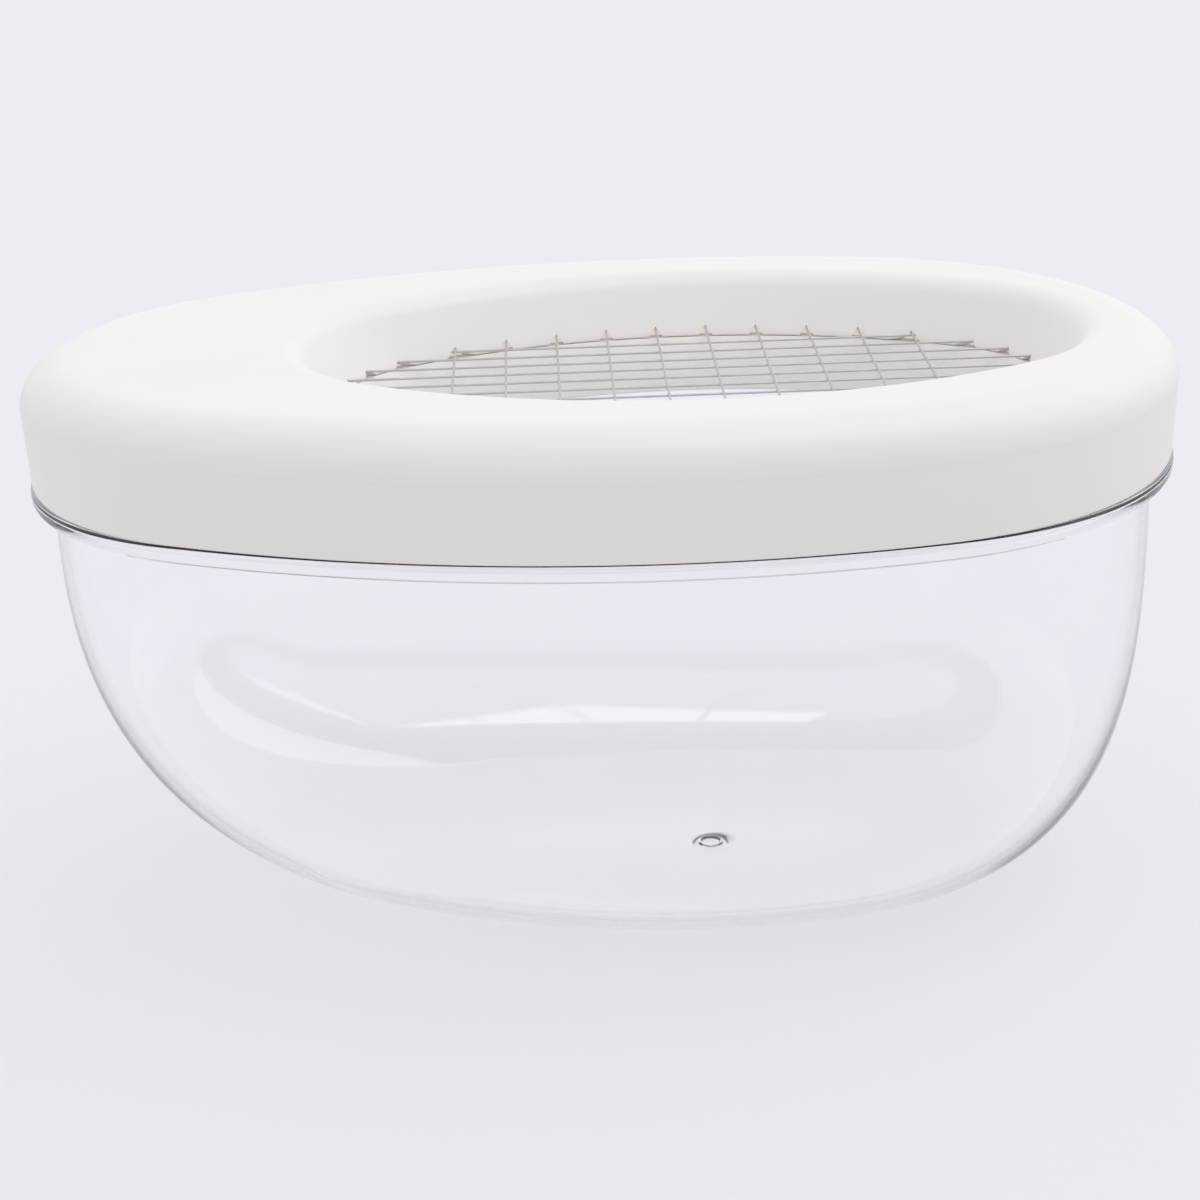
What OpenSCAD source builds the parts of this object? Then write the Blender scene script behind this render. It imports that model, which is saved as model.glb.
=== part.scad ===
// Hamster cage: a clear egg-shaped tub with a lift-off lid that carries a welded wire grille.
// Millimetres. The floor of the tub rests on z = 0, +X points to the wide end, +Y to the back.

/* [Overall] */
// Length of the tub's rim, from the narrow end to the wide end
cage_length = 430; // [340:5:520]
// Width of the tub's rim, front to back
cage_width = 274; // [228:2:340]
// How much less than half the width the wide end's radius is
wide_taper = 7; // [4:1:12]
// How much less than half the width the narrow end's radius is
narrow_taper = 28; // [20:1:40]

/* [Tub] */
// Height of the face that the lid rests on
tub_height = 171; // [140:1:210]
// Thickness of the tub's wall and floor
tub_wall = 2.5; // [2:0.1:3.5]
// Height of the clear bead round the rim
rim_height = 6.5; // [4:0.5:9]
// How far the bead stands out from the wall
rim_overhang = 8; // [6.5:0.5:10]
// Height of the lip that locates the lid
lip_height = 8; // [5:0.5:12]
// Thickness of the locating lip
lip_wall = 2.5; // [2:0.1:3]
// Length of the flat patch on the floor
floor_length = 60; // [40:1:90]
// Width of the flat patch on the floor
floor_width = 80; // [50:1:110]
// How far the flat patch sits towards the wide end
floor_shift = 56; // [20:1:70]
// Fullness of the wall at the wide end, where 2 is an ellipse
wide_fullness = 3.3; // [2.4:0.1:4]
// Fullness of the wall at the narrow end
narrow_fullness = 2.8; // [2.4:0.1:4]
// Fullness of the wall at the front and back
side_fullness = 3.2; // [2.4:0.1:4]

/* [Lid] */
// Thickness of the lid's shell
lid_wall = 2.5; // [2:0.1:3]
// How far the foot of the lid stands in from the rim's edge
lid_inset = 0.8; // [0.5:0.1:1.5]
// Height of the upright band below the parting line
band_height = 29; // [22:1:36]
// How far the band leans out towards the parting line
band_lean = 1.5; // [0.5:0.1:2]
// Height of the crown above the parting line
crown_height = 16; // [13:0.5:20]
// Width of the rounded shoulder
shoulder_width = 20.5; // [16:0.5:20.5]
// Side clearance between the lid and the locating lip
lip_gap = 0.5; // [0.4:0.1:1]
// Gap left under the foot of the lid
seat_gap = 0.1; // [0.05:0.05:0.3]

/* [Opening] */
// Width of the rail at the wide end, measured to the crest of the opening
end_rail = 25; // [23:0.5:40]
// Width of the rails at the front and back
side_rail = 39; // [30:0.5:50]
// Length of the closed deck at the narrow end
deck_length = 95.5; // [70:0.5:130]
// How much less than half the opening's width the radius of its ends is
opening_taper = 23; // [12:1:30]
// Radius of the rolled edge
roll_r = 12; // [8:0.5:14]
// Steepness of the well's wall below the rolled edge, from the horizontal
well_slope = 55; // [48:1:65]
// Depth of the middle of the grille below the crest
grille_depth = 19.8; // [16:0.2:23]
// How far the well's wall reaches below the middle of the grille
apron = 2.7; // [2:0.1:4]

/* [Grille] */
// Diameter of every wire
wire_d = 0.9; // [0.7:0.1:1.3]
// Number of long wires
long_wires = 10; // [7:1:11]
// How far the outer long wires lie inside the crest of the opening
long_margin = 41.75; // [36:0.25:50]
// Number of cross wires
cross_wires = 10; // [8:1:12]
// How far the end cross wires lie inside the crest of the opening
cross_margin = 64; // [54:0.5:74]
// How far the crossing wires sink into each other at a weld
weld_sink = 0.08; // [0.05:0.01:0.1]
// How far a wire reaches out behind the well's wall
wire_reach = 4; // [3:0.1:5]
// Width of a notch at its foot
notch_width = 6.3; // [5.5:0.1:6.8]
// Gap between a wire and the sides of its notch
notch_gap = 0.05; // [0.02:0.01:0.1]

/* [Retainer] */
// Thickness of the web that passes under the well's wall
web_thick = 2.4; // [2:0.1:3]
// Width of the land that holds the grille up
land_width = 15; // [13:0.5:16]
// Gap between the land and the back of the well's wall
land_gap = 0.4; // [0.3:0.1:0.8]
// Gap between the web and the lower edge of the well's wall
seam_gap = 0.2; // [0.1:0.1:0.4]
// How far the skirt carries on the slope of the well's wall, measured straight down
skirt_depth = 19; // [8:0.5:20]
// Number of screws in the retainer
screws = 6; // [4:2:8]
// Diameter of a screw's shank
screw_d = 2.9; // [2.5:0.1:3.5]
// Diameter of a screw's head
screw_head_d = 5.6; // [5:0.1:6.5]
// Height of a screw's head
screw_head_h = 1.9; // [1.5:0.1:2.5]
// How deep a screw bites into its boss
screw_bite = 7; // [5:0.5:8]
// Diameter of a boss
boss_d = 7; // [6.5:0.1:8]
// How far the thread cuts into the wall of its pilot hole
thread_cut = 0.25; // [0.15:0.05:0.3]

/* [Hidden] */
$fn = 96;
// Plan outlines are ovals of four arcs: [length, width, right end radius, left end radius].
rim_oval = [cage_length, cage_width, cage_width / 2 - wide_taper, cage_width / 2 - narrow_taper];
crest_length = cage_length - end_rail - deck_length;
crest_width = cage_width - 2 * side_rail;
crest_shift = (deck_length - end_rail) / 2;
opening_end_r = crest_width / 2 - opening_taper;
crest_oval = [crest_length, crest_width, opening_end_r, opening_end_r];
// The flat patch's ends are a little tighter than half its length
floor_end_r = floor_length / 2.2;
floor_oval = [floor_length, floor_width, floor_end_r, floor_end_r];
// Heights
seat_z = tub_height + seat_gap;
parting_z = tub_height + band_height;
crest_z = parting_z + crown_height;
grille_z = crest_z - grille_depth;
apron_z = grille_z - apron;
bowl_top_z = tub_height - rim_height;
// The two layers of wire, the cross wires above the long ones, spaced evenly between the margins
long_pitch = (crest_width - 2 * long_margin) / (long_wires - 1);
cross_pitch = (crest_length - 2 * cross_margin) / (cross_wires - 1);
layer_step = (wire_d - weld_sink) / 2;
long_z = grille_z - layer_step;
cross_z = grille_z + layer_step;
// The well's wall runs straight down at well_slope from the end of the rolled edge
roll_out = roll_r * sin(well_slope);
roll_drop = roll_r * (1 - cos(well_slope));
function well_inset(z) = roll_out + (crest_z - roll_drop - z) / tan(well_slope);
wall_across = lid_wall / sin(well_slope);
// The retainer's land stands behind the wall and carries the long wires
land_z = long_z - wire_d / 2;
land_inner = well_inset(land_z) - wall_across - land_gap;
land_outer = land_inner - land_width;
web_z = apron_z - seam_gap;
under_z = web_z - web_thick;
skirt_z = apron_z - skirt_depth;
boss_margin = 0.3;
boss_inset = land_outer + boss_d / 2 + boss_margin;
hole_play = 0.4;
pilot_d = screw_d - 2 * thread_cut;
land_hole_d = screw_d + hole_play;
edge_ease = 0.7;
bore_ease = 0.6;
// How far a cutter stands out of what it cuts
overcut = 1;
// How finely the tub's outline and wall are divided
wide_steps = 22;
side_steps = 15;
narrow_steps = 20;
wall_steps = 14;

function tag(i) = i < 10 ? str("0", i) : str(i);
long_names = [for (i = [1:long_wires]) str("long_wire_", tag(i))];
cross_names = [for (i = [1:cross_wires]) str("cross_wire_", tag(i))];
single_names = ["tub", "lid_shell", "mesh_retainer", "retainer_screws"];

// ---- Ovals of four arcs ----
function centre_wide(o) = o[0] / 2 - o[2];
function centre_narrow(o) = -o[0] / 2 + o[3];
// The side arcs touch both ends: their centre's x is shift_a + shift_b * side_r
function shift_a(o) = let (
    p = centre_wide(o),
    q = centre_narrow(o)
) (p * p - q * q - o[2] * o[2] + o[3] * o[3]) / (2 * (p - q));
function shift_b(o) = (o[2] - o[3]) / (centre_wide(o) - centre_narrow(o));
function side_r(o) = let (
    span = centre_wide(o) - shift_a(o),
    qa = shift_b(o) * shift_b(o),
    qb = 2 * o[2] - o[1] - 2 * span * shift_b(o),
    qc = span * span + o[1] * o[1] / 4 - o[2] * o[2]
) 2 * qc / (-qb + sqrt(qb * qb - 4 * qa * qc));
function side_x(o) = shift_a(o) + shift_b(o) * side_r(o);
function side_y(o) = side_r(o) - o[1] / 2;
function turn_wide(o) = atan2(side_y(o), centre_wide(o) - side_x(o));
function turn_narrow(o) = atan2(side_y(o), centre_narrow(o) - side_x(o));
function inset(o, d) = [o[0] - 2 * d, o[1] - 2 * d, o[2] - d, o[3] - d];
// The point of the oval whose outward direction is angle t, from -180 to 180
function oval_point(o, t) = let (
    s = t < 0 ? -1 : 1,
    u = abs(t)
) u <= turn_wide(o) ? [centre_wide(o) + o[2] * cos(u), s * o[2] * sin(u)]
    : u >= turn_narrow(o) ? [centre_narrow(o) + o[3] * cos(u), s * o[3] * sin(u)]
    : [side_x(o) + side_r(o) * cos(u), s * (side_r(o) * sin(u) - side_y(o))];
// Half the oval's width at x
function half_width(o, x) = let (
    p = x - centre_wide(o),
    q = x - centre_narrow(o),
    m = x - side_x(o)
) p > o[2] * cos(turn_wide(o)) ? sqrt(max(0, o[2] * o[2] - p * p))
    : q < o[3] * cos(turn_narrow(o)) ? sqrt(max(0, o[3] * o[3] - q * q))
    : sqrt(side_r(o) * side_r(o) - m * m) - side_y(o);
// The oval's x at a height y, towards the wide end (side = 1) or the narrow end (side = -1)
function reach(o, y, side) = let (
    r = side > 0 ? o[2] : o[3],
    c = side > 0 ? centre_wide(o) : centre_narrow(o),
    t = side > 0 ? turn_wide(o) : turn_narrow(o),
    v = abs(y)
) v <= r * sin(t) ? c + side * sqrt(r * r - v * v)
    : side_x(o) + side * sqrt(side_r(o) * side_r(o) - (v + side_y(o)) * (v + side_y(o)));
// Directions spread over the four arcs
function spread(o) = let (
    a = turn_wide(o),
    b = turn_narrow(o)
) concat(
    [for (i = [0:wide_steps - 1]) -a + 2 * a * i / wide_steps],
    [for (i = [0:side_steps - 1]) a + (b - a) * i / side_steps],
    [for (i = [0:narrow_steps - 1]) wrap(b + 2 * (180 - b) * i / narrow_steps)],
    [for (i = [0:side_steps - 1]) -b + (b - a) * i / side_steps]
);
function wrap(t) = t > 180 ? t - 360 : t;
function outline(o) = [for (t = spread(o)) oval_point(o, t)];

// ---- Tub ----
// The bowl blends from the rim's outline to the floor's, along a quarter of a superellipse
function fullness(t) = let (
    e = t > -90 && t < 90 ? wide_fullness : narrow_fullness
) side_fullness + (e - side_fullness) * cos(t) * cos(t);
function run_out(m, b) = cos(b) / pow(pow(cos(b), m) + pow(sin(b), m), 1 / m);
function run_down(m, b) = sin(b) / pow(pow(cos(b), m) + pow(sin(b), m), 1 / m);
// A ring of the bowl at step b (0 at the rim, 90 at the floor), the wall's inner face when t is tub_wall
function bowl_ring(b, t) = [
    for (a = spread(rim_oval)) let (
        top = oval_point(inset(rim_oval, rim_overhang + t), a),
        low = oval_point(inset(floor_oval, t), a) + [floor_shift, 0],
        k = run_out(fullness(a), b),
        p = low + (top - low) * k
    ) [p[0], p[1], bowl_top_z + (t - bowl_top_z) * run_down(fullness(a), b)]
];
function rim_ring(d, z) = [for (a = spread(rim_oval)) concat(oval_point(inset(rim_oval, d), a), z)];
lip_out = lid_inset + lid_wall + lip_gap;
lip_in = lip_out + lip_wall;
wall_in = rim_overhang + tub_wall;
lip_top_z = tub_height + lip_height;
tub_rings = concat(
    [for (i = [0:wall_steps]) bowl_ring(90 * (1 - i / wall_steps), 0)],
    [
        rim_ring(edge_ease, bowl_top_z),
        rim_ring(0, bowl_top_z + edge_ease),
        rim_ring(0, tub_height - edge_ease),
        rim_ring(edge_ease, tub_height),
        rim_ring(lip_out, tub_height),
        rim_ring(lip_out, lip_top_z - edge_ease),
        rim_ring(lip_out + edge_ease, lip_top_z),
        rim_ring(lip_in - edge_ease, lip_top_z),
        rim_ring(lip_in, lip_top_z - edge_ease),
        rim_ring(lip_in, tub_height),
        rim_ring(wall_in, tub_height - rim_height / 2)
    ],
    [for (i = [0:wall_steps]) bowl_ring(90 * i / wall_steps, tub_wall)]
);

// The triangles between the rings low and high of a stack, n points to a ring
function band_faces(low, high, n) = [
    for (i = [0:n - 1]) let (
        k = (i + 1) % n
    ) each [[low * n + i, high * n + i, high * n + k], [low * n + i, high * n + k, low * n + k]]
];
// A closed skin through a stack of rings, with a flat face on the first and the last
module skin(rings) {
    n = len(rings[0]);
    m = len(rings);
    sides = [for (j = [0:m - 2]) each band_faces(j, j + 1, n)];
    first = [for (i = [0:n - 1]) i];
    last = [for (i = [0:n - 1]) m * n - 1 - i];
    polyhedron(points = [for (r = rings) each r], faces = concat([first], sides, [last]), convexity = 6);
}
// A closed skin whose last ring joins its first
module loop_skin(rings) {
    n = len(rings[0]);
    m = len(rings);
    sides = [for (j = [0:m - 1]) each band_faces(j, (j + 1) % m, n)];
    polyhedron(points = [for (r = rings) each r], faces = sides, convexity = 6);
}

module tub() {
    color([0.9, 0.9, 0.97, 0.35]) skin(tub_rings);
}

// ---- Lid ----
shoulder_steps = 9;
roll_steps = 7;
shoulder_foot = lid_inset - band_lean;
shoulder_end = shoulder_foot + shoulder_width;
// A ring at distance d inside the crest's oval
function crest_ring(d, z) = [
    for (a = spread(rim_oval)) concat(oval_point(inset(crest_oval, d), a) + [crest_shift, 0], z)
];
// The rounded shoulder from the parting line up, t below its skin
function shoulder_ring(i, t) = let (
    a = 90 * i / shoulder_steps,
    z = parting_z + (crown_height - t) * sin(a)
) rim_ring(shoulder_end - (shoulder_width - t) * cos(a), z);
// The rolled edge of the opening from the crest down, t below its skin
function roll_ring(i, t) = let (
    a = well_slope * i / roll_steps,
    z = crest_z - roll_r + (roll_r - t) * cos(a)
) crest_ring((roll_r - t) * sin(a), z);
lid_rings = concat(
    [rim_ring(lid_inset, seat_z)],
    [for (i = [0:shoulder_steps]) shoulder_ring(i, 0)],
    [for (i = [0:roll_steps]) roll_ring(i, 0)],
    [crest_ring(well_inset(apron_z), apron_z), crest_ring(well_inset(apron_z) - wall_across, apron_z)],
    [for (i = [roll_steps:-1:0]) roll_ring(i, lid_wall)],
    [for (i = [shoulder_steps:-1:0]) shoulder_ring(i, lid_wall)],
    [rim_ring(lid_inset + lid_wall, seat_z)]
);
// What lies above the middle of the well's skin, as a plug that trims the bosses
plug_rings = concat(
    [crest_ring(well_inset(grille_z) - wall_across / 2, grille_z)],
    [for (i = [roll_steps:-1:0]) roll_ring(i, lid_wall / 2)],
    [crest_ring(-roll_r, crest_z - lid_wall / 2), crest_ring(-roll_r, crest_z + overcut)]
);
// A notch with its foot at the edge of the well's wall, cut along +X, with the wire's middle at z
module notch(z, length) {
    rise = z - apron_z;
    half = notch_width / 2;
    play = wire_d / 2 + notch_gap;
    // The peak lies where the slanting sides clear the wire
    slack = play * play;
    peak = (rise * half * half + play * sqrt(half * half * (rise * rise + half * half - slack)))
        / (half * half - slack);
    translate([0, 0, apron_z]) rotate([90, 0, 90]) linear_extrude(length)
        polygon([[-notch_half, -notch_gap], [notch_half, -notch_gap], [0, peak]]);
}
// Places of the wires in the frame of the opening
function long_y(i) = (i - (long_wires + 1) / 2) * long_pitch;
function cross_x(i) = (i - (cross_wires + 1) / 2) * cross_pitch;
// The oval that the ends of the wires lie on
wire_oval = inset(crest_oval, well_inset(grille_z) - wall_across - wire_reach);
function long_from(i) = reach(wire_oval, long_y(i), -1);
function long_to(i) = reach(wire_oval, long_y(i), 1);
function cross_to(i) = half_width(wire_oval, cross_x(i));
// A notch runs from where its outer corner leaves the well's wall to the end of its wire
well_oval = inset(crest_oval, well_inset(apron_z));
notch_half = notch_width / 2 + notch_gap;
function long_start(i, side) = reach(well_oval, abs(long_y(i)) + notch_half, side) - side * overcut;
function cross_start(i) = half_width(well_oval, abs(cross_x(i)) + notch_half) - overcut;
module notches() {
    for (i = [1:long_wires]) translate([crest_shift, long_y(i), 0]) {
        translate([long_start(i, 1), 0, 0]) notch(long_z, long_to(i) - long_start(i, 1) + overcut);
        translate([long_from(i) - overcut, 0, 0])
            notch(long_z, long_start(i, -1) - long_from(i) + overcut);
    }
    for (i = [1:cross_wires]) translate([crest_shift + cross_x(i), 0, 0]) for (turn = [90, -90])
        rotate([0, 0, turn]) translate([cross_start(i), 0, 0])
            notch(cross_z, cross_to(i) - cross_start(i) + overcut);
}
// Bosses and screws stand on one oval, midway between the wires' ends
boss_oval = inset(crest_oval, boss_inset);
boss_turns = [for (i = [0:screws - 1]) wrap(360 * (i + 0.5) / screws)];
module at_bosses() {
    for (t = boss_turns) translate(concat(oval_point(boss_oval, t) + [crest_shift, 0], 0)) children();
}
module bosses() {
    difference() {
        at_bosses() translate([0, 0, land_z]) cylinder(d = boss_d, h = crest_z - land_z);
        skin(plug_rings);
    }
}
module pilot_holes() {
    at_bosses() translate([0, 0, land_z - overcut])
        cylinder(d = pilot_d, h = screw_bite + bore_ease + overcut);
}
module lid_shell() {
    color([0.95, 0.94, 0.92]) difference() {
        union() {
            difference() {
                loop_skin(lid_rings);
                notches();
            }
            bosses();
        }
        pilot_holes();
    }
}

// ---- Grille ----
module wire(length) {
    rotate([0, 90, 0]) cylinder(d = wire_d, h = length, $fn = 24);
}
module long_wire(i) {
    color([0.75, 0.74, 0.72]) translate([crest_shift + long_from(i), long_y(i), long_z])
        wire(long_to(i) - long_from(i));
}
module cross_wire(i) {
    color([0.75, 0.74, 0.72]) translate([crest_shift + cross_x(i), -cross_to(i), cross_z])
        rotate([0, 0, 90]) wire(2 * cross_to(i));
}

// ---- Retainer ----
// The land behind the well's wall, the web under it, and the skirt that carries on its slope
retainer_rings = [
    crest_ring(land_outer, land_z),
    crest_ring(land_inner, land_z),
    crest_ring(land_inner, web_z),
    crest_ring(well_inset(web_z), web_z),
    crest_ring(well_inset(skirt_z), skirt_z),
    crest_ring(well_inset(skirt_z) - wall_across, skirt_z),
    crest_ring(well_inset(under_z) - wall_across, under_z),
    crest_ring(land_outer, under_z)
];
land_thick = land_z - under_z;
module mesh_retainer() {
    color([0.93, 0.92, 0.9]) difference() {
        loop_skin(retainer_rings);
        at_bosses() translate([0, 0, under_z - overcut])
            cylinder(d = land_hole_d, h = land_thick + 2 * overcut);
    }
}
module screw() {
    translate([0, 0, -screw_head_h]) cylinder(d = screw_head_d, h = screw_head_h);
    cylinder(d = screw_d, h = land_thick + screw_bite);
}
module retainer_screws() {
    color([0.7, 0.7, 0.72]) at_bosses() translate([0, 0, under_z]) screw();
}

tub();
lid_shell();
mesh_retainer();
retainer_screws();
for (i = [1:long_wires]) {
    long_wire(i);
}
for (i = [1:cross_wires]) {
    cross_wire(i);
}
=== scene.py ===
from math import asin, atan2, cos, exp, hypot, pi, radians, sin, sqrt, tan

import bmesh
import bpy
from mathutils import Matrix, Vector


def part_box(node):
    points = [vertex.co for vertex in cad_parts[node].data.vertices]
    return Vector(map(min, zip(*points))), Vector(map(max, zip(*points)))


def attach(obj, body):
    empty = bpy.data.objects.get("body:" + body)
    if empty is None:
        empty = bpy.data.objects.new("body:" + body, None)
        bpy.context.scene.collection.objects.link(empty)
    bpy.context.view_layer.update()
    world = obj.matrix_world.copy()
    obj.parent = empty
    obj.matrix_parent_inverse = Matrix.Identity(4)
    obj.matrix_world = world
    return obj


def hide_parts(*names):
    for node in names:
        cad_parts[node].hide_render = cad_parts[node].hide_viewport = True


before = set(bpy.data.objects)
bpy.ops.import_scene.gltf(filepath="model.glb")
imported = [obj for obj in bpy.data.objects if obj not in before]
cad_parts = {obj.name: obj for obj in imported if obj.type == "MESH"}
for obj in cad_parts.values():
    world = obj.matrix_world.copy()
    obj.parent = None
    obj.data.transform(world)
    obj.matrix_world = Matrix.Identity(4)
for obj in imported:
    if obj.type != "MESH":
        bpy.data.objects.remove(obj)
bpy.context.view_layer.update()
mm = 0.001  # everything below is drawn in millimetres and scaled by this once


def toLinear(hexColour):
    # sRGB hex to the linear colour that the shaders want
    parts = [int(hexColour[i:i + 2], 16) / 255 for i in (1, 3, 5)]
    return tuple(c / 12.92 if c <= 0.04045 else ((c + 0.055) / 1.055) ** 2.4 for c in parts) + (1.0,)


def addNode(tree, kind, settings=None, links=None):
    # one shader node: settings are attributes or socket values, links are sockets that feed it
    node = tree.nodes.new(kind)
    for key, value in (settings or {}).items():
        if isinstance(key, str) and hasattr(node, key):
            setattr(node, key, value)
        else:
            node.inputs[key].default_value = value
    for key, socket in (links or {}).items():
        tree.links.new(socket, node.inputs[key])
    return node


def newMaterial(name):
    material = bpy.data.materials.new(name)
    material.use_nodes = True
    material.node_tree.nodes.clear()
    return material, material.node_tree


def boxInMm(node):
    low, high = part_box(node)
    return Vector(low) / mm, Vector(high) / mm


def meshObject(name, verts, faces, material, sharpAngle=35):
    mesh = bpy.data.meshes.new(name)
    mesh.from_pydata([Vector(v) * mm for v in verts], [], faces)
    cleaner = bmesh.new()
    cleaner.from_mesh(mesh)
    bmesh.ops.remove_doubles(cleaner, verts=cleaner.verts, dist=1e-7)
    bmesh.ops.recalc_face_normals(cleaner, faces=cleaner.faces)
    cleaner.to_mesh(mesh)
    cleaner.free()
    mesh.materials.append(material)
    piece = bpy.data.objects.new(name, mesh)
    bpy.context.scene.collection.objects.link(piece)
    smooth(piece, sharpAngle)
    return piece


def smooth(piece, sharpAngle):
    piece.data.shade_smooth()
    piece.data.set_sharp_from_angle(angle=radians(sharpAngle))


def stackFaces(ringCount, around, first=0, closed=False):
    # quads between neighbouring rings of points
    faces = []
    for j in range(ringCount if closed else ringCount - 1):
        a = first + j * around
        b = first + (j + 1) % ringCount * around
        faces += [(a + i, a + (i + 1) % around, b + (i + 1) % around, b + i) for i in range(around)]
    return faces


def stackMesh(rings, closed=False):
    # a skin through rings of points, with a fan on each end unless it closes on itself
    around = len(rings[0])
    verts = [Vector(p) for ring in rings for p in ring]
    faces = stackFaces(len(rings), around, 0, closed)
    if not closed:
        for start in (0, (len(rings) - 1) * around):
            middle = sum((verts[start + i] for i in range(around)), Vector()) / around
            verts.append(middle)
            faces += [(start + i, start + (i + 1) % around, len(verts) - 1) for i in range(around)]
    return verts, faces


def joined(parts):
    # several (verts, faces) pairs as one
    verts, faces = [], []
    for partVerts, partFaces in parts:
        faces += [tuple(i + len(verts) for i in face) for face in partFaces]
        verts += partVerts
    return verts, faces


def rounded(corners, steps=5):
    # a profile of (inset, height, radius) corners with each corner turned into an arc
    points = []
    for i, (x, z, r) in enumerate(corners):
        if r == 0 or i in (0, len(corners) - 1):
            points.append((x, z))
            continue
        here = Vector((x, z))
        before = (Vector(corners[i - 1][:2]) - here).normalized()
        after = (Vector(corners[i + 1][:2]) - here).normalized()
        half = before.angle(after) / 2
        reach = r / tan(half)
        middle = here + (before + after).normalized() * (r / sin(half))
        start = here + before * reach - middle
        end = here + after * reach - middle
        turn = start.angle_signed(end)
        for k in range(steps + 1):
            a = -turn * k / steps
            spot = middle + Vector((start.x * cos(a) - start.y * sin(a),
                                    start.x * sin(a) + start.y * cos(a)))
            points.append((spot.x, spot.y))
    return points


def lathe(profile, sides, centre=(0, 0)):
    # (radius, height) points turned round a vertical axis, closed on the axis at both ends
    rings = []
    for r, z in profile:
        spin = [2 * pi * i / sides for i in range(sides)]
        rings.append([(centre[0] + r * cos(a), centre[1] + r * sin(a), z) for a in spin])
    return stackMesh(rings)


def combine(piece, tool, operation):
    # one boolean, applied, after which the tool is gone
    step = piece.modifiers.new("cut", "BOOLEAN")
    step.object = tool
    step.operation = operation
    step.solver = "EXACT"
    bpy.context.view_layer.update()
    result = bpy.data.meshes.new_from_object(piece.evaluated_get(bpy.context.evaluated_depsgraph_get()))
    piece.modifiers.clear()
    piece.data = result
    bpy.data.objects.remove(tool)


class Oval:
    def __init__(self, length, width, wideR, narrowR, shift=0):
        self.wideR, self.narrowR, self.shift = wideR, narrowR, shift
        self.wideX = length / 2 - wideR
        self.narrowX = narrowR - length / 2
        p, q = self.wideX, self.narrowX
        base = (p * p - q * q - wideR * wideR + narrowR * narrowR) / (2 * (p - q))
        lean = (wideR - narrowR) / (p - q)
        span = p - base
        b = 2 * wideR - width - 2 * span * lean
        c = span * span + width * width / 4 - wideR * wideR
        self.sideR = 2 * c / (-b + sqrt(b * b - 4 * lean * lean * c))
        self.sideX = base + lean * self.sideR
        self.sideY = self.sideR - width / 2
        self.wideTurn = atan2(self.sideY, p - self.sideX)
        self.narrowTurn = atan2(self.sideY, q - self.sideX)

    def point(self, turn, inset=0):
        # the point whose outward direction is turn, moved in by inset
        side, u = (-1 if turn < 0 else 1), abs(turn)
        if u <= self.wideTurn:
            x, y, r = self.wideX, 0, self.wideR
        elif u >= self.narrowTurn:
            x, y, r = self.narrowX, 0, self.narrowR
        else:
            x, y, r = self.sideX, -self.sideY, self.sideR
        return self.shift + x + (r - inset) * cos(u), side * (y + (r - inset) * sin(u))

    def depth(self, x, y):
        # how far a point lies inside the outline
        x, y = x - self.shift, abs(y)
        if atan2(y, x - self.wideX) <= self.wideTurn:
            return self.wideR - hypot(x - self.wideX, y)
        if atan2(y, x - self.narrowX) >= self.narrowTurn:
            return self.narrowR - hypot(x - self.narrowX, y)
        return self.sideR - hypot(x - self.sideX, y + self.sideY)

    def turns(self, spacing):
        # outward directions all round, about evenly spaced along the outline
        stops = [
            (-self.wideTurn, self.wideTurn, self.wideR),
            (self.wideTurn, self.narrowTurn, self.sideR),
            (self.narrowTurn, 2 * pi - self.narrowTurn, self.narrowR),
            (2 * pi - self.narrowTurn, 2 * pi - self.wideTurn, self.sideR),
        ]
        found = []
        for start, end, r in stops:
            steps = max(4, round((end - start) * r / spacing))
            found += [start + (end - start) * i / steps for i in range(steps)]
        return [t - 2 * pi if t > pi else t for t in found]

    def ring(self, turns, inset, z):
        return [(*self.point(t, inset), z) for t in turns]


tubLow, tubHigh = boxInMm("tub")
lidLow, lidHigh = boxInMm("lid_shell")
ringLow, ringHigh = boxInMm("mesh_retainer")
screwLow = boxInMm("retainer_screws")[0]
rimLength = tubHigh.x - tubLow.x
rimWidth = tubHigh.y - tubLow.y
rimTaper = {"wide": 7, "narrow": 28}  # how much tighter than half the width each end is
rim = Oval(rimLength, rimWidth, rimWidth / 2 - rimTaper["wide"], rimWidth / 2 - rimTaper["narrow"])

opening = {
    "endRail": 25,  # from the rim's end to the crest, at the wide end
    "sideRail": 39,  # the same at the front and back
    "deck": 95.5,  # the closed end
    "taper": 23,  # how much tighter than half its width its ends are
    "rollR": 12,  # rolled edge
    "slope": radians(55),  # the well's wall below it
}
crestLength = rimLength - opening["endRail"] - opening["deck"]
crestWidth = rimWidth - 2 * opening["sideRail"]
crestEnd = crestWidth / 2 - opening["taper"]
crest = Oval(crestLength, crestWidth, crestEnd, crestEnd, (opening["deck"] - opening["endRail"]) / 2)
crestZ = lidHigh.z


# Clear general-purpose polystyrene, injection moulded in a polished mould. It is glass clear, its high index
# gives bright rims and dark lines where light turns inside it, and its edges look faintly violet.
crystal = {"tint": "#FFFFFF", "tintFar": "#FDFDFE", "depth": "#B4B0CC", "density": 1.6, "shadow": "#FDFDFE",
           "flowMm": 26, "rippleMm": 0.02, "roughness": 0.015}


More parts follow.
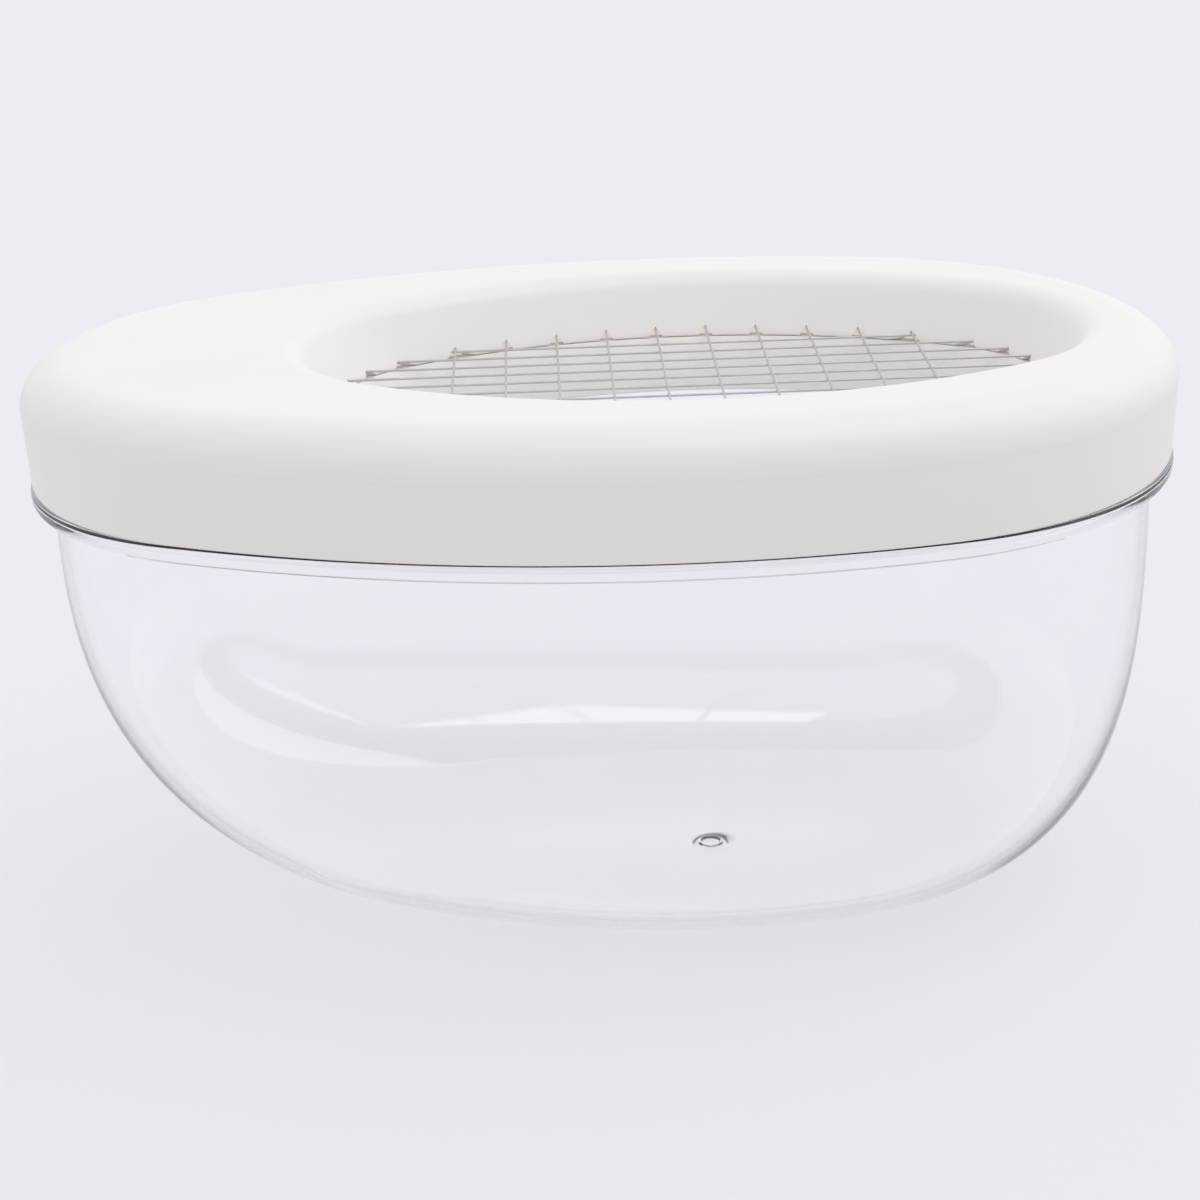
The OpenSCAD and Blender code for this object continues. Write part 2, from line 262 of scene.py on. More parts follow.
def clearPolystyrene():
    material, tree = newMaterial("clear_polystyrene_moulded")
    place = addNode(tree, "ShaderNodeTexCoord")
    # flow marks of the melt: broad, stretched along the cage, nearly invisible
    flow = addNode(tree, "ShaderNodeMapping", {"Scale": (0.35, 1.0, 1.0)},
                   {"Vector": place.outputs["Object"]})
    swirl = addNode(tree, "ShaderNodeTexNoise", {"Scale": 1 / (crystal["flowMm"] * mm), "Detail": 2.0},
                    {"Vector": flow.outputs["Vector"]})
    tint = addNode(tree, "ShaderNodeMix", {"data_type": "RGBA", 6: toLinear(crystal["tint"]),
                   7: toLinear(crystal["tintFar"])}, {0: swirl.outputs["Fac"]})
    polish = addNode(tree, "ShaderNodeMapRange",
                     {"To Min": crystal["roughness"], "To Max": crystal["roughness"] * 2.2},
                     {"Value": swirl.outputs["Fac"]})
    ripple = addNode(tree, "ShaderNodeBump", {"Strength": 0.35, "Distance": crystal["rippleMm"] * mm},
                     {"Height": swirl.outputs["Fac"]})
    skin = addNode(tree, "ShaderNodeBsdfPrincipled", {"Transmission Weight": 1.0, "IOR": 1.59},
                   {"Base Color": tint.outputs[2], "Roughness": polish.outputs["Result"],
                    "Normal": ripple.outputs["Normal"]})
    body = addNode(tree, "ShaderNodeVolumeAbsorption", {"Color": toLinear(crystal["depth"]),
                   "Density": crystal["density"]})
    # lamps shine straight through the thin walls, as they do through the real ones
    through = addNode(tree, "ShaderNodeBsdfTransparent", {"Color": toLinear(crystal["shadow"])})
    ray = addNode(tree, "ShaderNodeLightPath")
    either = addNode(tree, "ShaderNodeMixShader", {},
                     {0: ray.outputs["Is Shadow Ray"], 1: skin.outputs["BSDF"],
                     2: through.outputs["BSDF"]})
    addNode(tree, "ShaderNodeOutputMaterial", {}, {"Surface": either.outputs["Shader"],
            "Volume": body.outputs["Volume"]})
    return material


# Warm white ABS, injection moulded in a finely spark-eroded mould. It is opaque with a soft satin sheen:
# highlights are broad, and a close look finds a very fine even grain.
# the glow colour and its power below are painted light: an emission that lightens a part lying in shade
whiteAbs = {"colour": "#EEEBE7", "colourFar": "#EAE7E2", "mottleMm": 70, "grainMm": 0.45,
            "grainDepthMm": 0.006, "sheen": (0.36, 0.46), "paintedGlow": "#EFE6DE", "paintedGlowPower": 0.42}


def mouldedAbs(name, paintedGlow=0.0):
    # the emission is a painted glow that lightens shade: it stands in for the daylight that comes through
    # 2.5 mm walls into a closed channel
    material, tree = newMaterial(name)
    place = addNode(tree, "ShaderNodeTexCoord")
    mottle = addNode(tree, "ShaderNodeTexNoise", {"Scale": 1 / (whiteAbs["mottleMm"] * mm), "Detail": 2.0},
                     {"Vector": place.outputs["Object"]})
    # the eroded grain is about 0.1 mm on such a mould, and is drawn at 0.45 mm so that it shows
    grain = addNode(tree, "ShaderNodeTexNoise", {"Scale": 1 / (whiteAbs["grainMm"] * mm), "Detail": 3.0,
                    "Roughness": 0.6}, {"Vector": place.outputs["Object"]})
    colour = addNode(tree, "ShaderNodeMix", {"data_type": "RGBA", 6: toLinear(whiteAbs["colour"]),
                     7: toLinear(whiteAbs["colourFar"])}, {0: mottle.outputs["Fac"]})
    sheen = addNode(tree, "ShaderNodeMapRange",
                    {"To Min": whiteAbs["sheen"][0], "To Max": whiteAbs["sheen"][1]},
                    {"Value": grain.outputs["Fac"]})
    bump = addNode(tree, "ShaderNodeBump", {"Strength": 0.5, "Distance": whiteAbs["grainDepthMm"] * mm},
                   {"Height": grain.outputs["Fac"]})
    skin = addNode(tree, "ShaderNodeBsdfPrincipled", {"IOR": 1.53, "Emission Strength": paintedGlow,
                   "Emission Color": toLinear(whiteAbs["paintedGlow"])},
                   {"Base Color": colour.outputs[2], "Roughness": sheen.outputs["Result"],
                    "Normal": bump.outputs["Normal"]})
    addNode(tree, "ShaderNodeOutputMaterial", {}, {"Surface": skin.outputs["BSDF"]})
    return material


# Low-carbon steel wire, cold drawn and then nickel plated after welding. Drawing leaves fine lines along
# the wire and the plating is bright but soft, so that each wire shows one broad pale line.
wireFinish = {"colour": "#D0CECE", "colourFar": "#BBB9BA", "lineMm": 0.12, "streakMm": 6,
              "roughness": (0.36, 0.52)}


def platedWire(name, stretch):
    material, tree = newMaterial(name)
    place = addNode(tree, "ShaderNodeTexCoord")
    along = addNode(tree, "ShaderNodeMapping", {"Scale": stretch}, {"Vector": place.outputs["Object"]})
    lines = addNode(tree, "ShaderNodeTexNoise", {"Scale": 1 / (wireFinish["lineMm"] * mm), "Detail": 2.0},
                    {"Vector": along.outputs["Vector"]})
    cloud = addNode(tree, "ShaderNodeTexNoise", {"Scale": 1 / (wireFinish["streakMm"] * mm)},
                    {"Vector": place.outputs["Object"]})
    colour = addNode(tree, "ShaderNodeMix", {"data_type": "RGBA", 6: toLinear(wireFinish["colour"]),
                     7: toLinear(wireFinish["colourFar"])}, {0: cloud.outputs["Fac"]})
    polish = addNode(tree, "ShaderNodeMapRange", {"To Min": wireFinish["roughness"][0],
                     "To Max": wireFinish["roughness"][1]}, {"Value": lines.outputs["Fac"]})
    bump = addNode(tree, "ShaderNodeBump", {"Strength": 0.4, "Distance": 0.01 * mm},
                   {"Height": lines.outputs["Fac"]})
    skin = addNode(tree, "ShaderNodeBsdfPrincipled", {"Metallic": 1.0},
                   {"Base Color": colour.outputs[2], "Roughness": polish.outputs["Result"],
                    "Normal": bump.outputs["Normal"]})
    addNode(tree, "ShaderNodeOutputMaterial", {}, {"Surface": skin.outputs["BSDF"]})
    return material


# Zinc-plated steel screws, cold headed and thread rolled. The plating is a cool grey with a slight blue
# cast and faint cloudy patches.
zinc = {"colour": "#BFC3C9", "colourFar": "#A3A7AD", "patchMm": 0.8, "roughness": (0.25, 0.42)}


def zincPlate():
    material, tree = newMaterial("zinc_plated_steel")
    place = addNode(tree, "ShaderNodeTexCoord")
    patch = addNode(tree, "ShaderNodeTexNoise", {"Scale": 1 / (zinc["patchMm"] * mm), "Detail": 3.0},
                    {"Vector": place.outputs["Object"]})
    colour = addNode(tree, "ShaderNodeMix", {"data_type": "RGBA", 6: toLinear(zinc["colour"]),
                     7: toLinear(zinc["colourFar"])}, {0: patch.outputs["Fac"]})
    polish = addNode(tree, "ShaderNodeMapRange",
                     {"To Min": zinc["roughness"][0], "To Max": zinc["roughness"][1]},
                     {"Value": patch.outputs["Fac"]})
    bump = addNode(tree, "ShaderNodeBump", {"Strength": 0.3, "Distance": 0.01 * mm},
                   {"Height": patch.outputs["Fac"]})
    skin = addNode(tree, "ShaderNodeBsdfPrincipled", {"Metallic": 1.0},
                   {"Base Color": colour.outputs[2], "Roughness": polish.outputs["Result"],
                    "Normal": bump.outputs["Normal"]})
    addNode(tree, "ShaderNodeOutputMaterial", {}, {"Surface": skin.outputs["BSDF"]})
    return material


# Opal acrylic on a light table: matt, near white, a touch cool. Most of its light comes from below,
# which keeps the shadows pale.
acrylic = {"colour": "#7E7C81", "colourFar": "#7A787D", "toothMm": 1.5, "glow": "#F4F3F8",
           "glowPower": 0.70}


def opalAcrylic():
    material, tree = newMaterial("opal_acrylic")
    place = addNode(tree, "ShaderNodeTexCoord")
    tooth = addNode(tree, "ShaderNodeTexNoise", {"Scale": 1 / (acrylic["toothMm"] * mm), "Detail": 2.0},
                    {"Vector": place.outputs["Object"]})
    colour = addNode(tree, "ShaderNodeMix", {"data_type": "RGBA", 6: toLinear(acrylic["colour"]),
                     7: toLinear(acrylic["colourFar"])}, {0: tooth.outputs["Fac"]})
    skin = addNode(tree, "ShaderNodeBsdfPrincipled", {"Roughness": 0.85, "Specular IOR Level": 0.1,
                   "Emission Color": toLinear(acrylic["glow"]), "Emission Strength": acrylic["glowPower"]},
                   {"Base Color": colour.outputs[2]})
    addNode(tree, "ShaderNodeOutputMaterial", {}, {"Surface": skin.outputs["BSDF"]})
    return material


polystyrene = clearPolystyrene()
whiteAbs["material"] = mouldedAbs("white_abs_moulded")
# a lit copy of the ABS with a painted glow, for the land that lies in shade behind the notches
whiteAbs["lit"] = mouldedAbs("white_abs_lit_through", whiteAbs["paintedGlowPower"])
longSteel = platedWire("nickel_plated_wire_long", (0.03, 1.0, 1.0))
crossSteel = platedWire("nickel_plated_wire_cross", (1.0, 0.03, 1.0))
screwSteel = zincPlate()
print("materials made")


tub = {
    "wall": 2.5,
    "seat": 171.0,  # height of the face the lid rests on
    "bead": 6.5,  # height of the clear bead
    "overhang": 8.0,  # how far the bead stands out from the wall
    "lipOut": 3.8, "lipIn": 6.3,  # the lip that locates the lid
    "flat": (60, 80, 56),  # flat patch of the floor: length, width, shift
    "fullWide": 3.3, "fullNarrow": 2.8, "fullSide": 3.2,  # how square the bowl is, where 2 is an ellipse
    "gate": (39, 0),  # where the melt was let in
    "tail": 3.2,  # how far the bead's profile runs down the wall, which is upright there
    "spacing": 4.2, "steps": 44, "patchSteps": 5,  # fineness of the mesh
}
flatLength, flatWidth, flatShift = tub["flat"]
flatEnd = flatLength / 2.2  # its ends are a little tighter than half its length
flat = Oval(flatLength, flatWidth, flatEnd, flatEnd, flatShift)
tubTurns = rim.turns(tub["spacing"])
bowlTop = tub["seat"] - tub["bead"]


def fullness(t):
    # the superellipse's power at direction t
    end = tub["fullWide"] if abs(t) < pi / 2 else tub["fullNarrow"]
    return tub["fullSide"] + (end - tub["fullSide"]) * cos(t) ** 2


def bowlRing(step, thick):
    # a ring of the bowl, step 0 at the bead and 1 at the floor; thick moves it to the wall's inner face
    b = radians(90 * step)
    points = []
    for t in tubTurns:
        m = fullness(t)
        length = (cos(b) ** m + sin(b) ** m) ** (1 / m)
        out, down = cos(b) / length, sin(b) / length
        high = Vector(rim.point(t, tub["overhang"] + thick))
        low = Vector(flat.point(t, thick))
        spot = low + (high - low) * out
        points.append((spot.x, spot.y, bowlTop + (thick - bowlTop) * down))
    return points


def patchRings(thick, z, marks):
    # the flat patch from its outline in to the circles round the gate, given as (radius, height)
    edge = [flat.point(t, thick) for t in tubTurns]
    gx, gy = tub["gate"]
    firstR = marks[0][0]
    circle = [(gx + firstR * cos(t), gy + firstR * sin(t)) for t in tubTurns]
    rings = []
    for k in range(1, tub["patchSteps"]):
        share = k / tub["patchSteps"]
        pairs = zip(edge, circle)
        rings.append([(x + (cx - x) * share, y + (cy - y) * share, z) for (x, y), (cx, cy) in pairs])
    rings += [[(gx + r * cos(t), gy + r * sin(t), z + h) for t in tubTurns] for r, h in marks]
    return rings


def clearTub():
    steps = [i / tub["steps"] for i in range(tub["steps"] + 1)]
    # under the floor the gate leaves a shallow dished recess, inside it a low ring
    recess = patchRings(0, 0, [(7.4, 0), (7.0, 0.12), (6.4, 0.4), (4.0, 0.45), (1.0, 0.45)])
    ringMark = [(6.6, 0), (5.4, 0.03), (5.0, 0.22), (4.7, 0.48), (4.3, 0.58), (3.9, 0.5), (3.6, 0.22),
                (3.2, 0.06), (2.4, 0.03), (1.0, 0.05)]
    mark = patchRings(tub["wall"], tub["wall"], ringMark)
    seat, overhang, tail = tub["seat"], tub["overhang"], bowlTop - tub["tail"]
    bead = rounded([
        (overhang, tail, 0), (overhang, bowlTop, 1.1), (0, bowlTop, 2.6), (0, seat, 2.2),
        (tub["lipOut"], seat, 0.35), (tub["lipOut"], tubHigh.z, 0.9), (tub["lipIn"], tubHigh.z, 0.9),
        (tub["lipIn"], seat, 1.2), (overhang + tub["wall"], seat - tub["bead"] / 2, 4.0),
        (overhang + tub["wall"], tail, 0)])
    clear = tail - 0.1  # rings of the bowl above this would crowd the bead's first one
    outer = [ring for ring in (bowlRing(s, 0) for s in reversed(steps)) if ring[0][2] < clear]
    inner = [ring for ring in (bowlRing(s, tub["wall"]) for s in steps) if ring[0][2] < clear]
    edge = [beadRing(d, z) for d, z in bead]
    rings = list(reversed(recess)) + outer + edge + inner + mark
    verts, faces = stackMesh(rings)
    return meshObject("tub_clear", verts, faces, polystyrene, 30)


def beadRing(d, z):
    # below the bead the wall is already drawing in, so the profile follows it
    points = []
    for t in tubTurns:
        m = fullness(t)
        drop = max(0, bowlTop - z) / bowlTop
        out = (1 - drop ** m) ** (1 / m)
        wall = Vector(rim.point(t, d))
        low = Vector(flat.point(t, 0))
        spot = low + (wall - low) * out
        points.append((spot.x, spot.y, z))
    return points


tubPiece = clearTub()
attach(tubPiece, "tub")
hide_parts("tub")
print("tub made")


lid = {
    "wall": 2.5,
    "inset": 0.8,  # how far the foot stands in from the rim's edge
    "parting": 200.0,  # height of the parting line
    "lean": 1.5,  # how far the band leans out towards it
    "shoulder": 20.5,  # width of the rounded shoulder
    "apron": 193.5,  # lower edge of the well's wall
    "spacing": 3.4, "shoulderSteps": 22, "rollSteps": 14, "deckSteps": 9,
    "notch": 6.3, "notchGap": 0.05,  # width at the foot, and play beside the wire
    "bossD": 7.0, "bossMargin": 0.3, "pilotD": 2.4, "pilotDepth": 7.6, "screws": 6,
}
lidTurns = rim.turns(lid["spacing"])
foot = lid["inset"] - lid["lean"]
deckEdge = foot + lid["shoulder"]
rollR, slope = opening["rollR"], opening["slope"]
rollOut = rollR * sin(slope)
rollFoot = crestZ - rollR * (1 - cos(slope))
wallAcross = lid["wall"] / sin(slope)


def wellInset(z):
    return rollOut + (rollFoot - z) / tan(slope)


def shoulderRings(thick):
    rings = []
    for i in range(lid["shoulderSteps"] + 1):
        a = radians(90 * i / lid["shoulderSteps"])
        d = deckEdge - (lid["shoulder"] - thick) * cos(a)
        rings.append(rim.ring(lidTurns, d, lid["parting"] + (crestZ - lid["parting"] - thick) * sin(a)))
    return rings


def deckRings(z):
    # between the shoulder and the crest of the opening
    outer = rim.ring(lidTurns, deckEdge, z)
    inner = crest.ring(lidTurns, 0, z)
    rings = []
    for i in range(1, lid["deckSteps"]):
        share = i / lid["deckSteps"]
        rings.append([Vector(a).lerp(Vector(b), share) for a, b in zip(outer, inner)])
    return rings


def rollRings(thick):
    rings = []
    for i in range(lid["rollSteps"] + 1):
        a = slope * i / lid["rollSteps"]
        rings.append(crest.ring(lidTurns, (rollR - thick) * sin(a),
                                crestZ - rollR + (rollR - thick) * cos(a)))
    return rings


def lidSkin():
    low, parting, wall, apron = lidLow.z, lid["parting"], lid["wall"], lid["apron"]
    inside = lid["inset"] + wall
    # a fine step below the parting line is the witness of the mould's two halves
    band = rounded([(inside, low + 1.2, 0), (inside, low, 0.7), (lid["inset"], low, 0.7),
                    (foot + 0.12, parting - 0.5, 0)], 4)
    band += [(foot + 0.12, parting - 0.38), (foot + 0.01, parting - 0.25)]
    deep, back = wellInset(apron), wellInset(apron) - wallAcross
    edge = rounded([(wellInset(apron + 3), apron + 3, 0), (deep, apron, 0.5), (back, apron, 0.4),
                    (back - 3 / tan(slope), apron + 3, 0)], 4)
    wellFall = [apron + 3 + (rollFoot - apron - 3) * i / 5 for i in (4, 3, 2, 1)]
    rings = [rim.ring(lidTurns, d, z) for d, z in band]
    rings += shoulderRings(0) + deckRings(crestZ) + rollRings(0)
    rings += [crest.ring(lidTurns, wellInset(z), z) for z in wellFall]
    rings += [crest.ring(lidTurns, d, z) for d, z in edge]
    rings += list(reversed(rollRings(wall))) + list(reversed(deckRings(crestZ - wall)))
    rings += list(reversed(shoulderRings(wall)))
    return stackMesh(rings, closed=True)


def midSkin(x, y):
    # height of the middle of the lid's wall above a point under the rolled edge
    d, r = crest.depth(x, y), rollR - lid["wall"] / 2
    if d <= 0:
        return crestZ - lid["wall"] / 2
    if d < r * sin(slope):
        return crestZ - rollR + r * cos(asin(d / r))
    return crestZ - rollR + r * cos(slope) - (d - r * sin(slope)) * tan(slope)


bossTurns = [2 * pi * (i + 0.5) / lid["screws"] for i in range(lid["screws"])]
bossTurns = [t - 2 * pi if t > pi else t for t in bossTurns]
landOuter = crestLength / 2 + crest.shift - ringHigh.x
bossPlaces = [crest.point(t, landOuter + lid["bossD"] / 2 + lid["bossMargin"]) for t in bossTurns]


def boss(place):
    # a round pillar with its pilot hole, whose top follows the lid's wall
    low, bore = ringHigh.z, lid["pilotD"] / 2
    profile = [(0.05, low + lid["pilotDepth"]), (bore, low + lid["pilotDepth"])]
    profile += rounded([(bore, low + 3, 0), (bore, low, 0.4), (lid["bossD"] / 2, low, 0.3),
                        (lid["bossD"] / 2, low + 3, 0)], 3)
    profile += [(lid["bossD"] / 2 * share, 0) for share in (1.0, 0.55, 0.05)]
    verts, faces = lathe(profile, 40, place)
    for v in verts:
        if v.z < low - 1:
            v.z = midSkin(v.x, v.y)
    return verts, faces


def notchTool(start, end):
    # a triangular bar that cuts the notch for the end of a wire: it runs in until both its lower corners
    # have left the well's wall
    half, gap, foot = lid["notch"] / 2, lid["notchGap"], lid["apron"]
    rise, play = end.z - foot, grille["wire"] / 2 + gap
    slack = play * play
    lever = half * sqrt(rise * rise + half * half - slack)
    peak = (rise * half * half + play * lever) / (half * half - slack)
    direction = (end - start).normalized()
    across = Vector((-direction.y, direction.x, 0))
    spot = Vector((end.x, end.y, 0))
    deep, most = 0, 80  # mm
    while deep < most:
        corners = [spot - direction * deep + across * side for side in (-half - gap, half + gap)]
        if min(crest.depth(c.x, c.y) for c in corners) > wellInset(foot):
            break
        deep += 1
    verts = []
    for reach in (-deep - 1, 1):
        for side, height in ((-half - gap, -gap), (half + gap, -gap), (0, peak)):
            verts.append(spot + direction * reach + across * side + Vector((0, 0, foot + height)))
    return verts, [(0, 1, 2), (3, 5, 4), (0, 3, 4, 1), (1, 4, 5, 2), (2, 5, 3, 0)]


# a wire's thickness, how far and how long a weld swells it, and the fineness of its mesh
grille = {"wire": 0.9, "weld": 0.14, "weldMm": 0.75, "sides": 14, "pieces": 24}


def wireEnds(name):
    # the two ends of a wire's axis, from its CAD box
    low, high = boxInMm(name)
    middle = (low + high) / 2
    if high.x - low.x > high.y - low.y:
        return Vector((low.x, middle.y, middle.z)), Vector((high.x, middle.y, middle.z))
    return Vector((middle.x, low.y, middle.z)), Vector((middle.x, high.y, middle.z))


longNames = sorted(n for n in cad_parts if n.startswith("long_wire"))
crossNames = sorted(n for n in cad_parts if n.startswith("cross_wire"))
longEnds = {name: wireEnds(name) for name in longNames}
crossEnds = {name: wireEnds(name) for name in crossNames}


def whiteLid():
    shell = meshObject("lid_white", *lidSkin(), whiteAbs["material"])
    bosses = meshObject("bosses", *joined([boss(place) for place in bossPlaces]), whiteAbs["material"])
    combine(shell, bosses, "UNION")
    for ends in (longEnds, crossEnds):  # one cut for each way, since bars that cross spoil the boolean
        bars = []
        for start, end in ends.values():
            bars += [notchTool(start, end), notchTool(end, start)]
        combine(shell, meshObject("notches", *joined(bars), whiteAbs["material"]), "DIFFERENCE")
    smooth(shell, 32)
    return shell


lidPiece = whiteLid()
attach(lidPiece, "lid")
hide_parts("lid_shell")
print("lid made")


def wireMesh(start, end, crossings, toward):
    # a sheared wire whose crossings are drawn towards the wires they are welded to
    length = (end - start).length
    along = (end - start) / length
    across = Vector((-along.y, along.x, 0))
    radius = grille["wire"] / 2
    stops = {0.0, 0.08, 0.25, length - 0.25, length - 0.08, length}
    stops |= {length * i / grille["pieces"] for i in range(1, grille["pieces"])}
    for c in crossings:
        stops |= {c + k * grille["weldMm"] for k in (-2, -1, -0.5, 0, 0.5, 1, 2)}
    rings = []
    for s in sorted(stops):
        edge = min(s, length - s)
        shrink = 0.72 if edge < 0.01 else 0.9 if edge < 0.1 else 1.0
        swell = sum(exp(-((s - c) / grille["weldMm"]) ** 2) for c in crossings) * grille["weld"]
        ring = []
        for i in range(grille["sides"]):
            a = 2 * pi * i / grille["sides"]
            lift = radius * shrink * sin(a)
            lift += toward * swell * max(0, sin(a) * toward)
            ring.append(start + along * s + across * (radius * shrink * cos(a)) + Vector((0, 0, lift)))
        rings.append(ring)
    return stackMesh(rings)


for name in longNames + crossNames:
    isLong = name in longEnds
    start, end = longEnds[name] if isLong else crossEnds[name]
    crossings = []
    for otherStart, otherEnd in (crossEnds if isLong else longEnds).values():
        if isLong and otherStart.y < start.y < otherEnd.y:
            crossings.append(otherStart.x - start.x)
        if not isLong and otherStart.x < start.x < otherEnd.x:
            crossings.append(otherStart.y - start.y)
    wire = meshObject(name + "_steel", *wireMesh(start, end, crossings, 1 if isLong else -1),
                      longSteel if isLong else crossSteel, 50)
    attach(wire, "lid")
    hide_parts(name)
print("grille made")


retainer = {
    "land": 15,  # width of the land that the wires rest on
    "web": 2.4, "seam": 0.2,  # thickness of the web, and the gap above it
    "ease": 0.5, "hole": 3.3,
    "spacing": 3.4,
}


def retainerRing():
    # the land behind the well's wall, the web under it, and the skirt that carries on its slope
    ease, high, low = retainer["ease"], ringHigh.z, ringLow.z
    webTop = lid["apron"] - retainer["seam"]
    under = webTop - retainer["web"]
    landInner = landOuter + retainer["land"]
    corners = [
        (landOuter, high - 2, 0), (landOuter, high, ease), (landInner, high, ease), (landInner, webTop, 0.3),
        (wellInset(webTop), webTop, ease), (wellInset(low), low, ease),
        (wellInset(low) - wallAcross, low, ease), (wellInset(under) - wallAcross, under, 1.5),
        (landOuter, under, ease), (landOuter, high - 2.2, 0)]
    turns = crest.turns(retainer["spacing"])
    rings = [crest.ring(turns, d, z) for d, z in rounded(corners, 3)]
    ring = meshObject("mesh_retainer_white", *stackMesh(rings, closed=True), whiteAbs["material"])
    holes = []
    for place in bossPlaces:
        profile = [(0.02, under - 1), (retainer["hole"] / 2, under - 1), (retainer["hole"] / 2, high + 1),
                   (0.02, high + 1)]
        holes.append(lathe(profile, 32, place))
    combine(ring, meshObject("holes", *joined(holes), whiteAbs["material"]), "DIFFERENCE")
    smooth(ring, 32)
    ring.data.materials.append(whiteAbs["lit"])
    for face in ring.data.polygons:
        # the land closes the channel behind the well, and shows through the notches; it gets the painted
        # glow, which lightens the shade there
        if face.center.z / mm > webTop + 0.1:
            face.material_index = 1
    return ring


ringPiece = retainerRing()
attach(ringPiece, "lid")
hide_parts("mesh_retainer")

screw = {"head": 5.6, "headHigh": 1.9, "shank": 2.9, "core": 2.3, "pitch": 1.1, "bite": 7.0,
         "recess": (2.6, 0.75, 1.1)}  # recess: span, width, depth


def screwHead():
    # a pan head seen from below, with a tapered cross recess
    r, h = screw["head"] / 2, screw["headHigh"]
    profile = rounded([(0.02, -h, 0), (r, -h, 0.9), (r, 0, 0.2), (0.02, 0, 0)], 6)
    head = meshObject("screw_head", *lathe(profile, 40), screwSteel)
    span, width, depth = screw["recess"]
    bars = []
    for turn in (0, 1):
        verts = []
        for z, taper in ((-h - 0.1, 1.0), (-h + depth, 0.55)):
            for x, y in ((-1, -1), (1, -1), (1, 1), (-1, 1)):
                spot = Vector((x * span / 2 * taper, y * width / 2 * taper, z))
                verts.append(Matrix.Rotation(turn * pi / 2, 3, "Z") @ spot)
        bars.append((verts, [(0, 1, 2, 3), (7, 6, 5, 4), (0, 4, 5, 1), (1, 5, 6, 2), (2, 6, 7, 3),
                             (3, 7, 4, 0)]))
    for k, bar in enumerate(bars):
        combine(head, meshObject("recess", *bar, screwSteel), "DIFFERENCE")
    verts = [v.co / mm for v in head.data.vertices]
    faces = [tuple(p.vertices) for p in head.data.polygons]
    bpy.data.objects.remove(head)
    return verts, faces


def screwShank():
    # a rolled thread: one ridge that climbs a pitch each turn
    length = ringHigh.z - screwLow.z - screw["headHigh"] + screw["bite"]
    core, crown = screw["core"] / 2, screw["shank"] / 2
    sides, perTurn = 18, 8
    count = int(length / screw["pitch"] * perTurn)
    rings = []
    for j in range(count + 1):
        z = length * j / count - 0.01
        tip = min(1, (length - z) / 1.4 + 0.25)
        ring = []
        for i in range(sides):
            phase = (z / screw["pitch"] - i / sides) % 1
            ridge = max(0, 1 - abs(phase - 0.5) * 3.4)
            r = (core + (crown - core) * ridge) * tip
            ring.append((r * cos(2 * pi * i / sides), r * sin(2 * pi * i / sides), z))
        rings.append(ring)
    return stackMesh(rings)


def screws():
    head, shank = screwHead(), screwShank()
    parts = []
    under = screwLow.z + screw["headHigh"]  # the face that the heads bear on
    for k, (x, y) in enumerate(bossPlaces):
        spin = Matrix.Rotation(radians(37 * k), 3, "Z")  # each was driven home at its own angle
        for verts, faces in (head, shank):
            parts.append(([spin @ v + Vector((x, y, under)) for v in verts], faces))
    return meshObject("retainer_screws_zinc", *joined(parts), screwSteel, 40)


screwPiece = screws()
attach(screwPiece, "lid")
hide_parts("retainer_screws")
print("retainer and screws made")


stage = {"size": 12000, "drop": 0.2}


def acrylicFloor():
    half = stage["size"] / 2
    grid = [(x * half, y * half, -stage["drop"]) for y in (-1, 0, 1) for x in (-1, 0, 1)]
    faces = [(i, i + 1, i + 4, i + 3) for i in (0, 1, 3, 4)]
    return meshObject("acrylic_floor", grid, faces, opalAcrylic())


acrylicFloor()

light = {
    "sky": "#F8F7FC", "skyPower": 0.95,
    "front": 0.8, "back": 1.15,  # the studio's walls: dimmer behind the camera, brighter behind the cage
    "low": 1.1, "high": 0.9,  # a little brighter near the floor than overhead
    "keyPower": 0.47, "keySpread": 55, "keyFrom": (0.75, 0.35, 0.9),
    "boxPower": 2.3, "boxSize": (0.9, 0.6), "boxFrom": (0.25, -0.1, 1.5),  # softbox overhead, in metres
}


def lamp(name, kind, place, settings):
    data = bpy.data.lights.new(name, kind)
    for key, value in settings.items():
        setattr(data, key, value)
    lampObject = bpy.data.objects.new(name, data)
    bpy.context.scene.collection.objects.link(lampObject)
    lampObject.location = place
    lampObject.rotation_euler = (-Vector(place)).to_track_quat("-Z", "Y").to_euler()
    return lampObject


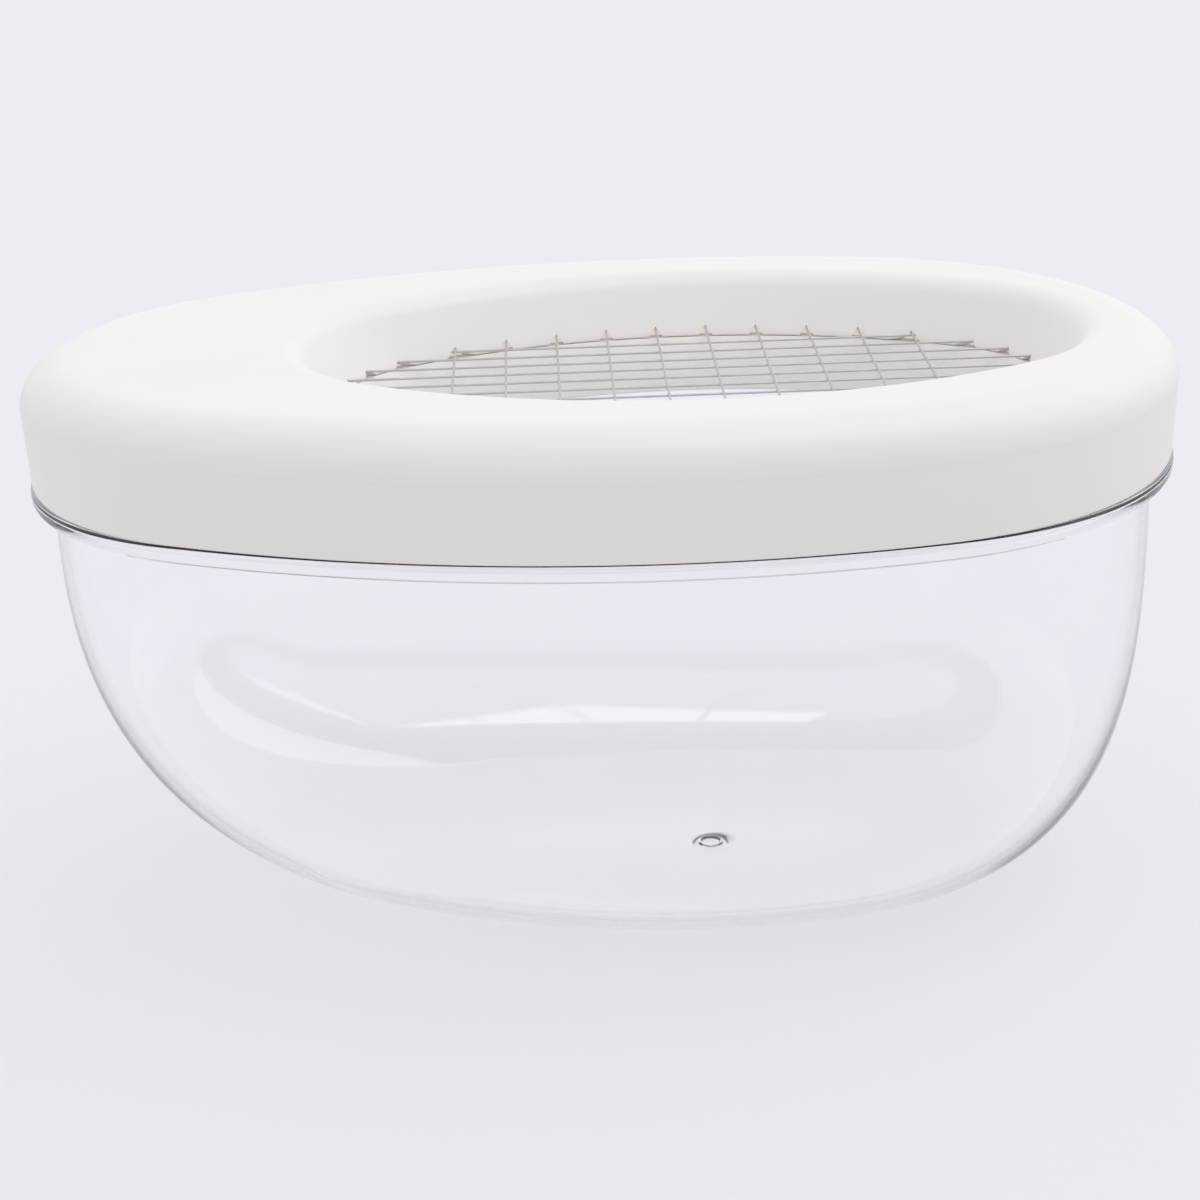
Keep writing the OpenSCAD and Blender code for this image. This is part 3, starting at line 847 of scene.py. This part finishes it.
def lights():
    world = bpy.data.worlds.new("studio")
    bpy.context.scene.world = world
    world.use_nodes = True
    tree = world.node_tree
    tree.nodes.clear()
    place = addNode(tree, "ShaderNodeTexCoord")
    axes = addNode(tree, "ShaderNodeSeparateXYZ", {}, {0: place.outputs["Generated"]})
    depth = addNode(tree, "ShaderNodeMapRange",
                    {"From Min": -1.0, "From Max": 1.0, "To Min": light["front"],
                    "To Max": light["back"]}, {"Value": axes.outputs["Y"]})
    height = addNode(tree, "ShaderNodeMapRange", {"To Min": light["low"] * light["skyPower"],
                     "To Max": light["high"] * light["skyPower"]}, {"Value": axes.outputs["Z"]})
    power = addNode(tree, "ShaderNodeMath", {"operation": "MULTIPLY"},
                    {0: depth.outputs["Result"], 1: height.outputs["Result"]})
    sky = addNode(tree, "ShaderNodeBackground", {"Color": toLinear(light["sky"])},
                  {"Strength": power.outputs[0]})
    addNode(tree, "ShaderNodeOutputWorld", {}, {"Surface": sky.outputs["Background"]})
    lamp("key", "SUN", light["keyFrom"],
         {"energy": light["keyPower"], "angle": radians(light["keySpread"])})
    # through the open grille the softbox leaves a soft white patch on the bowl's far curve
    lamp("softbox", "AREA", light["boxFrom"], {"shape": "RECTANGLE", "size": light["boxSize"][0],
         "size_y": light["boxSize"][1], "energy": light["boxPower"]})
    bpy.context.scene.view_settings.view_transform = "Standard"


lights()

view = {"place": (-22.3, -947.2, 458.5), "pitch": 20.23, "yaw": 1.20, "roll": 1.805, "lens": 78}


def camera():
    data = bpy.data.cameras.new("view")
    data.lens = view["lens"]
    data.sensor_width = 36
    pitch, yaw, roll = (radians(view[k]) for k in ("pitch", "yaw", "roll"))
    forward = Vector((sin(yaw) * cos(pitch), cos(yaw) * cos(pitch), -sin(pitch)))
    levelRight = Vector((cos(yaw), -sin(yaw), 0))
    levelUp = levelRight.cross(forward)
    right = levelRight * cos(roll) - levelUp * sin(roll)
    up = levelRight * sin(roll) + levelUp * cos(roll)
    turn = Matrix((right, up, -forward)).transposed()
    cameraObject = bpy.data.objects.new("view", data)
    bpy.context.scene.collection.objects.link(cameraObject)
    cameraObject.matrix_world = Matrix.Translation(Vector(view["place"]) * mm) @ turn.to_4x4()
    bpy.context.scene.camera = cameraObject


camera()
print("stage made")
